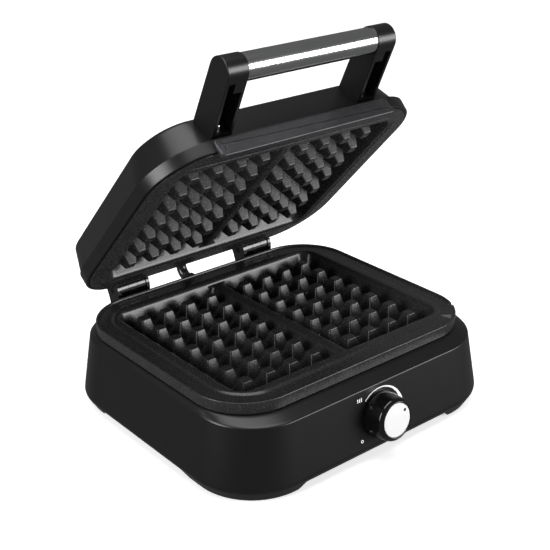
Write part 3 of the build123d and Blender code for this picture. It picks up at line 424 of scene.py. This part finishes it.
# ---- base casing ----
@dataclass
class BaseCasing:
    """The black lower casing: four feet, leaning walls and a sloped shoulder."""

    wall: float = 3.0
    foot_z: float = 0.8
    belly_z: float = 12.2
    arch_h: float = 8.0
    arch_half: float = 89.0
    arch_front: float = -60.0
    arch_back: float = 73.0
    arch_slope: float = 8.0
    # rows of half x, low y, high y, corner radius, z
    foot: tuple = (143.0, -127.0, 127.0, 53.0, 0.8)
    belly: tuple = (150.0, -133.0, 133.0, 58.0, 12.2)
    shoulder: tuple = (141.0, -125.9, 127.5, 52.7, 65.2)
    ledge: tuple = (138.5, -112.5, 119.5, 50.0, 69.9)
    opening: tuple = (122.0, -96.5, 103.5, 25.0, 69.9)

    def inset(self, row: tuple, by: float, z: float) -> tuple:
        """A row moved in by a distance, at another height."""
        return (row[0] - by, row[1] + by, row[2] - by, row[3] - by, z)

    def edge_lift(self, ring: np.ndarray) -> np.ndarray:
        """Height of the lower edge round the casing.

        Between the feet the edge rises by s = t^2 (3 - 2t), where t runs from 0 to 1
        over the slope beside a foot.
        """
        x, y = ring[:, 0], ring[:, 1]
        on_side = np.abs(x) > self.belly[0] - 1.0
        gap_front = self.arch_half - np.abs(x)
        gap_side = np.minimum(y - self.arch_front, self.arch_back - y)
        t = np.clip(np.where(on_side, gap_side, gap_front) / self.arch_slope, 0, 1)
        return (self.arch_h - self.foot_z) * t ** 2 * (3 - 2 * t)

    def build(self) -> bpy.types.Object:
        """The casing as one closed wall: sole, outside, shoulder, ledge and inside."""
        w = self.wall
        corners = [self.inset(self.belly, w, self.belly_z), self.inset(self.foot, w, self.foot_z),
                   self.foot, self.belly, self.shoulder, self.ledge, self.opening,
                   self.opening[:4] + (self.opening[4] - w,),
                   self.inset(self.ledge, 2.6, self.ledge[4] - w),
                   self.inset(self.shoulder, w, self.shoulder[4] - w),
                   self.inset(self.belly, w, self.belly_z)]
        reaches = [0, 0.5, 0.7, 2.4, 1.1, 1.4, 0.6, 0.4, 0, 0, 0]
        profile = eased(corners, reaches, 6)
        pattern = ring_pattern(CORNER_STEPS, SIDE_STEPS)
        points = rings_from(profile, pattern)
        lift = self.edge_lift(rings_from(np.array([self.belly]), pattern)[0])
        rise = self.belly_z - self.foot_z
        share = np.clip((self.belly_z - profile[:, 4]) / rise, 0, 1)[:, None]
        dz = share * lift[None, :]
        # the wall leans, so a lifted point also moves outwards with the wall
        out = dz / rise
        slope = np.array(self.belly) - np.array(self.foot)
        cols = [profile[:, k][:, None] + out * slope[k] for k in range(4)]
        points[..., :2] = rounded_rings(*cols, pattern)
        points[..., 2] += dz
        rows, ring = points.shape[:2]
        return add_mesh("base_casing", points[:-1].reshape(-1, 3),
                        grid_faces(rows - 1, ring, caps=False)
                        + self.closing_faces(rows - 1, ring), WORLD, 30.0)

    @staticmethod
    def closing_faces(rows: int, ring: int) -> list:
        """Quads that join the last ring back to the first."""
        j = np.arange(ring)
        nxt = (j + 1) % ring
        last = (rows - 1) * ring
        return np.stack([last + j, last + nxt, nxt, j], -1).tolist()


# ---- lid casing ----
@dataclass
class LidCasing:
    """The black upper casing, in the lid frame with the front towards -Y."""

    rim: tuple = (137.4, -243.3, -11.0, 50.0, -1.6)
    band: tuple = (138.6, -243.3, -11.0, 51.0, 9.1)
    step: tuple = (137.4, -238.0, -11.0, 50.0, 9.1)
    roof: tuple = (126.0, -227.3, -11.0, 38.0, 37.6)
    crown: tuple = (108.0, -211.0, -44.0, 28.0, 40.4)

    def build(self) -> bpy.types.Object:
        """The casing closed over its crown, with a stepped band round its mouth."""
        inner_crown = (105.0, -208.0, -46.0, 26.0, 37.4)
        inner_roof = (124.2, -225.4, -14.0, 35.0, 34.6)
        inner_band = (134.4, -235.0, -14.0, 47.0, 9.6)
        inner_ledge = (134.4, -240.3, -14.0, 47.0, 6.1)
        inner_rim = (134.4, -240.3, -14.0, 47.0, -1.6)
        small = (60.0, -170.0, -80.0, 10.0, 37.4)
        middle = (60.0, -170.0, -80.0, 10.0, 40.4)
        low_band = tuple(r + (b - r) * 0.9 for r, b in zip(self.rim, self.band))
        corners = [small, inner_crown, inner_roof, inner_band, inner_ledge, inner_rim, self.rim,
                   low_band, self.band, self.step, self.roof, self.crown, middle]
        reaches = [0, 1.0, 2.0, 0, 0, 0.5, 0.7, 0, 0.45, 0.35, 3.4, 9.0, 0]
        profile = eased(corners, reaches, 8)
        pattern = ring_pattern(CORNER_STEPS, SIDE_STEPS)
        points = rings_from(profile, pattern)
        rows, ring = points.shape[:2]
        return add_mesh("lid_casing", points.reshape(-1, 3), grid_faces(rows, ring), OPEN, 30.0)

    def caps(self) -> list:
        """Four plugs over the screw wells, a touch proud of the crown."""
        pieces = []
        for i, (x, y) in enumerate([(-100, -203.3), (-100, -51.3), (100, -203.3), (100, -51.3)]):
            spot = Place(np.eye(3), (x, y, 0)).then(OPEN)
            outline = [(0.01, 37.0), (4.3, 37.0), (4.3, 40.6), (0.01, 40.75)]
            pieces.append(turned(f"crown_plug_{i + 1}", rounded_turn(outline, 0.5), spot, 40))
        return pieces


# ---- plates ----
@dataclass
class WafflePlate:
    """A cast plate seen from its baking side, with the peg tips at z = 0."""

    name: str
    place: Place
    outline: tuple
    rim: float
    skirt: float
    cavity: tuple = (112.4, 90.0, 11.0)
    lean: float = 5.0
    floor: float = -14.5
    channel: bool = False

    def row(self, half_x: float, half_y: float, radius: float, z: float) -> tuple:
        """One profile row of a shape centred on the plate."""
        return (half_x, -half_y, half_y, radius, z)

    def casting(self) -> bpy.types.Object:
        """Rim, drip channel or bead, cavity walls and floor as one closed surface."""
        w, d, r = self.outline
        cx, cy, cr = self.cavity
        top, low = self.rim, self.rim - self.skirt
        under = self.floor - 3.5
        rows = [(self.row(90, 70, 6, under), 0), (self.row(cx + 0.6, cy + 1, 14, under), 1.5),
                (self.row(cx + 5.6, cy + 6, 20, top - 4), 0.5),
                (self.row(w - 4, d - 4, r - 4, top - 4), 0.5),
                (self.row(w - 4, d - 4, r - 4, low), 0.5),
                (self.row(w, d, r, low), 0.6), (self.row(w, d, r, top), 0.9)]
        if self.channel:
            rows += [(self.row(w - 2.1, d - 2.1, r - 2.1, top), 0.5),
                     (self.row(w - 2.9, d - 2.9, r - 2.9, top - 1.6), 0.6),
                     (self.row(w - 13.5, d - 13.5, r - 13.5, top - 1.6), 1.2),
                     (self.row(w - 16, d - 16, r - 16, top), 1.4)]
        else:
            for out, z in ((8.0, top), (7.4, top + 0.7), (4.8, top + 0.7), (4.2, top)):
                rows.append((self.row(cx + out, cy + out, cr + out, z), 0.25))
        rows += [(self.row(cx + 0.6, cy + 0.6, cr + 0.6, top), 3.4),
                 (self.row(cx - self.lean, cy - self.lean, 8.0, self.floor), 1.6),
                 (self.row(cx - 14, cy - 14, 4.0, self.floor), 0)]
        profile = eased([a for a, _ in rows], [b for _, b in rows], 6)
        pattern = ring_pattern(CORNER_STEPS * 2, SIDE_STEPS // 3)
        points = rings_from(profile, pattern)
        if self.channel:
            self.raise_lug(points, pattern, profile)
        count, ring = points.shape[:2]
        return add_mesh(self.name, points.reshape(-1, 3), grid_faces(count, ring), self.place, 35.0)

    def raise_lug(self, points: np.ndarray, pattern: np.ndarray, profile: np.ndarray) -> None:
        """Fills the channel along the front right corner and notches both ends of the fill."""
        angle = -(1 - pattern[:, 1]) * 90
        corner = (pattern[:, 0] == 3) & (pattern[:, 2] == 0)
        lug = corner & (angle > -57) & (angle < -30)
        notch = corner & (((angle >= -30) & (angle < -26)) | ((angle > -61) & (angle <= -57)))
        width = profile[:, 0]
        bed = (width < self.outline[0] - 1.5) & (width > self.outline[0] - 9.5)
        bed &= (profile[:, 4] > self.rim - 2.0) & (profile[:, 4] < self.rim + 0.1)
        lip = (width > self.outline[0] - 2.6) & (profile[:, 4] > self.rim - 1.7)
        points[np.ix_(bed, lug)] += np.stack([0 * width[bed], 0 * width[bed],
                                              self.rim - 0.15 - profile[bed, 4]], -1)[:, None, :]
        drop = np.where(bed | lip, self.rim - 3.0, profile[:, 4])[bed | lip]
        block = points[np.ix_(bed | lip, notch)]
        block[..., 2] = drop[:, None]
        points[np.ix_(bed | lip, notch)] = block

    def divider(self) -> bpy.types.Object:
        """The wall between the two halves, flared where it meets the cavity's ends.

        Half width at y grows by R - sqrt(R^2 - s^2) over the last R before an end.
        """
        end, flare = self.cavity[1] - 0.6, 6.0
        straight = np.linspace(-end + flare, end - flare, 9)[1:-1]
        y = np.concatenate([np.linspace(-end, -end + flare, 9), straight,
                            np.linspace(end - flare, end, 9)])
        s = np.clip(np.abs(y) - (end - flare), 0, flare)
        grow = flare - np.sqrt(np.maximum(flare ** 2 - s ** 2, 0))
        top = self.rim - 3.4
        shape = eased([(0.0, self.floor - 0.5), (10.2, self.floor - 0.5), (9.0, self.floor + 1.0), (5.0, top),
                       (0.0, top + 0.25)], [0, 0, 1.2, 2.2, 0], 5)
        both = np.concatenate([shape, shape[::-1][1:] * [-1, 1]])[:-1]
        x = both[None, :, 0] + np.sign(both[None, :, 0]) * grow[:, None]
        z = np.broadcast_to(both[None, :, 1], x.shape)
        points = np.stack([x, np.broadcast_to(y[:, None], x.shape), z], -1)
        rows, ring = points.shape[:2]
        return add_mesh(f"{self.name}_divider", points.reshape(-1, 3), grid_faces(rows, ring),
                        self.place, 50.0)

    def pegs(self) -> bpy.types.Object:
        """All pegs: leaning four-sided studs with soft edges, a flared root and an eased tip."""
        rows = np.array([(9.3, 2.6, self.floor - 0.3), (8.75, 2.2, self.floor + 0.5),
                         (8.25, 1.9, self.floor + 1.8), (4.5, 1.25, -0.7), (4.3, 1.15, -0.2),
                         (3.85, 0.9, 0.0)])
        profile = np.stack([rows[:, 0], -rows[:, 0], rows[:, 0], rows[:, 1], rows[:, 2]], -1)
        one = rings_from(profile, ring_pattern(3, 1))
        count, ring = one.shape[:2]
        cols = FIRST_COLUMN_X + PEG_PITCH * np.arange(PEG_COLS)
        across = np.concatenate([-cols[::-1], cols])
        along = PEG_PITCH * (np.arange(PEG_ROWS) - (PEG_ROWS - 1) / 2)
        spots = np.array([(x, y, 0) for x in across for y in along])
        points = (spots[:, None, :] + one.reshape(1, -1, 3)).reshape(-1, 3)
        faces = []
        for k in range(len(spots)):
            faces += grid_faces(count, ring, k * count * ring)
        return add_mesh(f"{self.name}_studs", points, faces, self.place, 60.0)


# ---- knob, handle, strip and conduit ----
@dataclass
class Knob:
    """The temperature knob on the front wall, its axis along the wall's normal."""

    back_r: float = 20.2
    face_r: float = 18.3
    height: float = 19.6
    gap: float = 0.6

    def body(self) -> bpy.types.Object:
        """Leaning skirt, wide bevel and a sunk bed for the disc."""
        h = self.height
        outline = [(0.01, self.gap), (self.back_r, self.gap), (self.back_r, self.gap + 1.6),
                   (self.face_r, h - 2.4), (15.8, h), (15.0, h), (14.6, h - 0.8), (14.6, h - 1.6),
                   (0.01, h - 1.6)]
        profile = eased(outline, [0, 0.5, 0.8, 0.9, 0.35, 0.3, 0, 0, 0], 5)
        return turned("knob_body", profile, FRONT, 128)

    def disc(self) -> bpy.types.Object:
        """The bright disc, slightly domed, with an eased edge."""
        h = self.height
        outline = [(0.01, h - 1.6), (14.45, h - 1.6), (14.45, h - 0.55), (0.01, h - 0.4)]
        return turned("knob_disc", eased(outline, [0, 0, 0.35, 0], 5), FRONT, 128)

    def dot(self) -> bpy.types.Object:
        """The round pointer mark, sunk into the disc with a low crown."""
        a, h = radians(34.0), self.height
        spot = Place(np.eye(3), (11.2 * cos(a), 11.2 * sin(a), 0)).then(FRONT)
        outline = [(0.01, h - 1.2), (1.45, h - 1.2), (1.45, h - 0.42), (0.01, h - 0.3)]
        return turned("knob_dot", eased(outline, [0, 0, 0.2, 0], 4), spot, 32)


@dataclass
class Handle:
    """The steel tube between the lid's two arms."""

    radius: float = 11.0
    wall: float = 1.2
    half: float = 73.9
    d: float = 285.5
    h: float = 40.6

    def tube(self) -> bpy.types.Object:
        """A hollow tube along X with rolled ends."""
        r, w, e = self.radius, self.wall, self.half
        outline = [(r - w, -e), (r, -e), (r, e), (r - w, e), (r - w, -e)]
        profile = eased(outline, [0, 0.5, 0.5, 0.3, 0], 4)
        along_x = Place(np.array([[0, 0, 1], [0, 1, 0], [-1, 0, 0]]), (0, -self.d, self.h)).then(OPEN)
        angle = np.linspace(0, 2 * pi, 96, endpoint=False)
        x, y = profile[:-1, :1] * np.cos(angle), profile[:-1, :1] * np.sin(angle)
        points = np.stack([x, y, np.broadcast_to(profile[:-1, 1:], x.shape)], -1)
        rows, ring = points.shape[:2]
        faces = grid_faces(rows, ring, caps=False) + BaseCasing.closing_faces(rows, ring)
        return add_mesh("handle_tube_polished", points.reshape(-1, 3), faces, along_x, 40.0)


@dataclass
class FrontStrip:
    """The strip along the lid's front edge."""

    half: float = 90.5
    low: float = -8.5
    high: float = 7.5
    seat: float = 243.3
    depth: float = 4.2
    top_depth: float = 2.4

    def build(self) -> bpy.types.Object:
        """A bar with rounded ends and softened front edges, thinner towards its top."""
        def row(inset: float, out: float) -> tuple:
            return (self.half - inset, self.low + inset, self.high - inset, 3.0 - inset * 0.6, out)

        corners = [row(0.0, 0.0), row(0.0, self.depth), row(6.0, self.depth + 0.0)]
        profile = eased(corners, [0, 1.5, 0], 6)
        points = rings_from(profile, ring_pattern(8, 24))
        share = (points[..., 1] - self.low) / (self.high - self.low)
        points[..., 2] *= 1 - (1 - self.top_depth / self.depth) * share
        # local x, height, outwards to the lid frame's x, -d, h
        turned_up = Place(np.array([[1, 0, 0], [0, 0, -1], [0, 1, 0]]), (0, -self.seat, 0)).then(OPEN)
        rows, ring = points.shape[:2]
        return add_mesh("front_strip", points.reshape(-1, 3), grid_faces(rows, ring), turned_up, 35.0)


@dataclass
class Conduit:
    """The sleeve that carries the wires from base to lid."""

    radius: float = 4.98
    start_y: float = 123.0
    z: float = 67.0
    lid_d: float = 11.0
    lid_h: float = 14.0
    bend: float = 12.0

    def line(self) -> np.ndarray:
        """Points of its centre line: a run to the rear, one bend, and a run to the lid."""
        a = radians(OPEN_ANGLE)
        y_wall = HINGE_Y - self.lid_d * cos(a) + self.lid_h * sin(a)
        z_wall = HINGE_Z + self.lid_d * sin(a) + self.lid_h * cos(a)
        run = (z_wall - self.z) / sin(a)
        corner = np.array([y_wall + run * cos(a), self.z])
        end = np.array([y_wall - 1.9 * cos(a), z_wall + 1.9 * sin(a)])
        turn = pi - a
        tangent = self.bend * np.tan(turn / 2)
        centre = np.array([corner[0] - tangent, self.z + self.bend])
        angle = np.linspace(-pi / 2, -pi / 2 + turn, 40)
        arc = centre + self.bend * np.stack([np.cos(angle), np.sin(angle)], -1)
        first = np.linspace([self.start_y, self.z], arc[0], 12)[:-1]
        last = np.linspace(arc[-1], end, 14)[1:]
        flat = np.concatenate([first, arc, last])
        return np.concatenate([np.zeros((len(flat), 1)), flat], -1)

    def build(self) -> bpy.types.Object:
        """A round sleeve, every ring of which lies square to the line."""
        line = self.line()
        run = np.concatenate([[0], np.cumsum(np.linalg.norm(np.diff(line, axis=0), axis=1))])
        s = np.linspace(0, run[-1], 120)
        mid = np.stack([np.interp(s, run, line[:, k]) for k in range(3)], -1)
        along = np.gradient(mid, axis=0)
        along /= np.linalg.norm(along, axis=1)[:, None]
        side = np.array([1.0, 0, 0])
        up = np.cross(along, side)
        angle = np.linspace(0, 2 * pi, 32, endpoint=False)
        spokes = np.cos(angle)[None, :, None] * side + np.sin(angle)[None, :, None] * up[:, None]
        points = mid[:, None] + self.radius * spokes
        rows, ring = points.shape[:2]
        return add_mesh("conduit_sleeve", points.reshape(-1, 3), grid_faces(rows, ring), WORLD, 60.0)


# ---- the whole object ----
@dataclass
class WaffleMaker:
    """Every piece of the object, built and dressed."""

    frame: dict
    finishes: Finishes = field(default_factory=Finishes)

    def add(self, piece: bpy.types.Object, body: str, finish: Finish, slot: str, *nodes: str) -> None:
        """Dresses a new piece, makes it ride on a body and hides the nodes it stands for."""
        self.finishes.wear(piece, finish, slot)
        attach(piece, body)
        if nodes:
            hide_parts(*nodes)
        LOG.info("%s rides on %s, %d faces", piece.name, body, len(piece.data.polygons))

    def casings(self) -> None:
        """Base and lid casings with their plugs and strip."""
        f = self.finishes
        self.add(BaseCasing().build(), BASE, f.casing, "casing_plastic", "base_shell")
        lid = LidCasing()
        self.add(lid.build(), LID, f.casing, "casing_plastic", "lid_shell")
        for k, plug in enumerate(lid.caps()):
            self.add(plug, LID, f.rubber, "casing_plastic", *(["lid_screw_caps"] if k == 0 else []))
        self.add(FrontStrip().build(), LID, f.strip, "strip_metal", "front_lip")

    def plates(self) -> None:
        """Both baking plates."""
        f = self.finishes
        lower = WafflePlate("lower_casting", LOWER, (137.5, 115.0, 49.0), 2.4, 10.0, channel=True)
        upper = WafflePlate("upper_casting", UPPER, (134.0, 112.8, 47.0), 0.6, 5.0)
        for plate, body, node in ((lower, BASE, "lower_plate"), (upper, LID, "upper_plate")):
            self.add(plate.casting(), body, f.coating, "nonstick_coating", node)
            self.add(plate.divider(), body, f.coating, "nonstick_coating")
            self.add(plate.pegs(), body, f.coating, "nonstick_coating", f"{node}_pegs")

    def controls(self) -> None:
        """Knob, handle tube and conduit."""
        f = self.finishes
        knob = Knob()
        self.add(knob.body(), KNOB, f.gloss, "gloss_plastic", "control_knob")
        self.add(knob.disc(), KNOB, f.silver, "silver_face", "knob_face_disc")
        self.add(knob.dot(), KNOB, f.print_black, "black_print", "knob_pointer_dot")
        self.add(Handle().tube(), LID, f.steel, "brushed_steel", "handle_tube")
        sleeve = Conduit().build()
        f.wear(sleeve, f.sleeve, "wire_sleeve")
        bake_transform(sleeve)
        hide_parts("wiring_conduit")

    def cad_nodes(self) -> None:
        """Finishes of the CAD nodes that stay in view."""
        f = self.finishes
        looks = {f.casing: ("handle_arm_left", "handle_arm_right", "bottom_cover"),
                 f.gloss: ("base_hinge_brackets", "lid_hinge_brackets", "conduit_gland_base",
                           "conduit_gland_lid", "mains_cord_gland"),
                 f.rubber: ("rubber_feet",),
                 f.print_white: ("dial_marks",),
                 f.steel: ("thermostat_shaft", "lower_plate_washers"),
                 f.blackened: ("hinge_pins",),
                 f.zinc: ("bottom_cover_screws", "lower_plate_screws", "lower_reflector_screws",
                          "base_hinge_screws", "lid_hinge_screws", "upper_plate_screws", "handle_screws",
                          "front_lip_screws"),
                 f.sheath: ("lower_heating_element", "upper_heating_element"),
                 f.sheet: ("lower_heat_reflector", "upper_heat_reflector"),
                 f.brass: ("thermostat_bushing", "thermostat_nut"),
                 f.ceramic: ("thermostat_body", "terminal_block", "thermal_fuse", "lid_thermal_fuse"),
                 f.sleeve: ("base_wiring",)}
        for finish, names in looks.items():
            for name in names:
                self.finishes.dress_node(self.frame["nodes"][name], finish)

    def build(self) -> None:
        """Builds every sub-assembly in order."""
        self.casings()
        self.plates()
        self.controls()
        self.cad_nodes()


# ---- studio ----
@dataclass
class Studio:
    """Pale floor, soft lights and the camera."""

    camera_at: tuple = (-0.57114, -0.68859, 0.52396)
    azimuth: float = -39.457
    elevation: float = 24.409
    roll: float = -0.493
    lens_mm: float = 73.77

    def camera(self) -> None:
        """The camera, set by its azimuth, elevation and roll."""
        a, e, r = radians(self.azimuth), radians(self.elevation), radians(self.roll)
        back = Vector((sin(a) * cos(e), -cos(a) * cos(e), sin(e)))
        right = (-back).cross(Vector((0, 0, 1))).normalized()
        up = right.cross(-back)
        side, high = cos(r) * right + sin(r) * up, -sin(r) * right + cos(r) * up
        data = bpy.data.cameras.new("view")
        data.lens, data.sensor_width = self.lens_mm, 36.0
        view = bpy.data.objects.new("view", data)
        turn = Matrix((side, high, back)).transposed().to_4x4()
        view.matrix_world = Matrix.Translation(self.camera_at) @ turn
        bpy.context.scene.collection.objects.link(view)
        bpy.context.scene.camera = view

    def floor(self) -> None:
        """A wide white floor."""
        mesh = bpy.data.meshes.new("floor")
        e = 6.0
        mesh.from_pydata([(-e, -e, 0), (e, -e, 0), (e, e, 0), (-e, e, 0)], [], [(0, 1, 2, 3)])
        plane = bpy.data.objects.new("floor", mesh)
        mat = bpy.data.materials.new("white_paper")
        mat.use_nodes = True
        shader = mat.node_tree.nodes["Principled BSDF"]
        shader.inputs["Base Color"].default_value = linear("fdfdfd")
        shader.inputs["Roughness"].default_value = 0.9
        shader.inputs["Specular IOR Level"].default_value = 0.1
        shader.inputs["Emission Color"].default_value = (1, 1, 1, 1)
        shader.inputs["Emission Strength"].default_value = 0.55
        mesh.materials.append(mat)
        bpy.context.scene.collection.objects.link(plane)
        plane.visible_glossy = False

    def softbox(self, name: str, at: tuple, aim: tuple, size: tuple, watts: float) -> None:
        """One rectangular soft light.

        Args:
            name: the light's name.
            at: its place in metres.
            aim: the point it faces.
            size: its width and height in metres.
            watts: its power.
        """
        data = bpy.data.lights.new(name, "AREA")
        data.shape, data.size, data.size_y, data.energy = "RECTANGLE", size[0], size[1], watts
        light = bpy.data.objects.new(name, data)
        light.location = at
        light.rotation_euler = (Vector(aim) - Vector(at)).to_track_quat("-Z", "Y").to_euler()
        bpy.context.scene.collection.objects.link(light)

    def lights(self) -> None:
        """A high softbox, one on each side, and a pale surround."""
        self.softbox("overhead", (-0.1, 0.0, 2.2), (0, 0, 0), (1.8, 1.8), 34)
        self.softbox("left", (-1.9, 0.2, 0.8), (0, 0, 0.15), (0.9, 1.2), 28)
        self.softbox("front_right", (1.3, -1.9, 0.55), (0, 0, 0.1), (1.6, 1.1), 52)
        world = bpy.data.worlds.new("studio")
        world.use_nodes = True
        sky = world.node_tree.nodes["Background"]
        sky.inputs["Color"].default_value = (1, 1, 1, 1)
        sky.inputs["Strength"].default_value = 0.14
        bpy.context.scene.world = world
        bpy.context.scene.view_settings.view_transform = "Standard"

    def build(self) -> None:
        """Sets up the studio."""
        self.camera()
        self.floor()
        self.lights()


def main() -> None:
    """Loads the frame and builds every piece."""
    logging.basicConfig(level=logging.INFO, format="%(name)s: %(message)s")
    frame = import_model()
    WaffleMaker(frame).build()
    Studio().build()


if __name__ == "__main__":
    main()
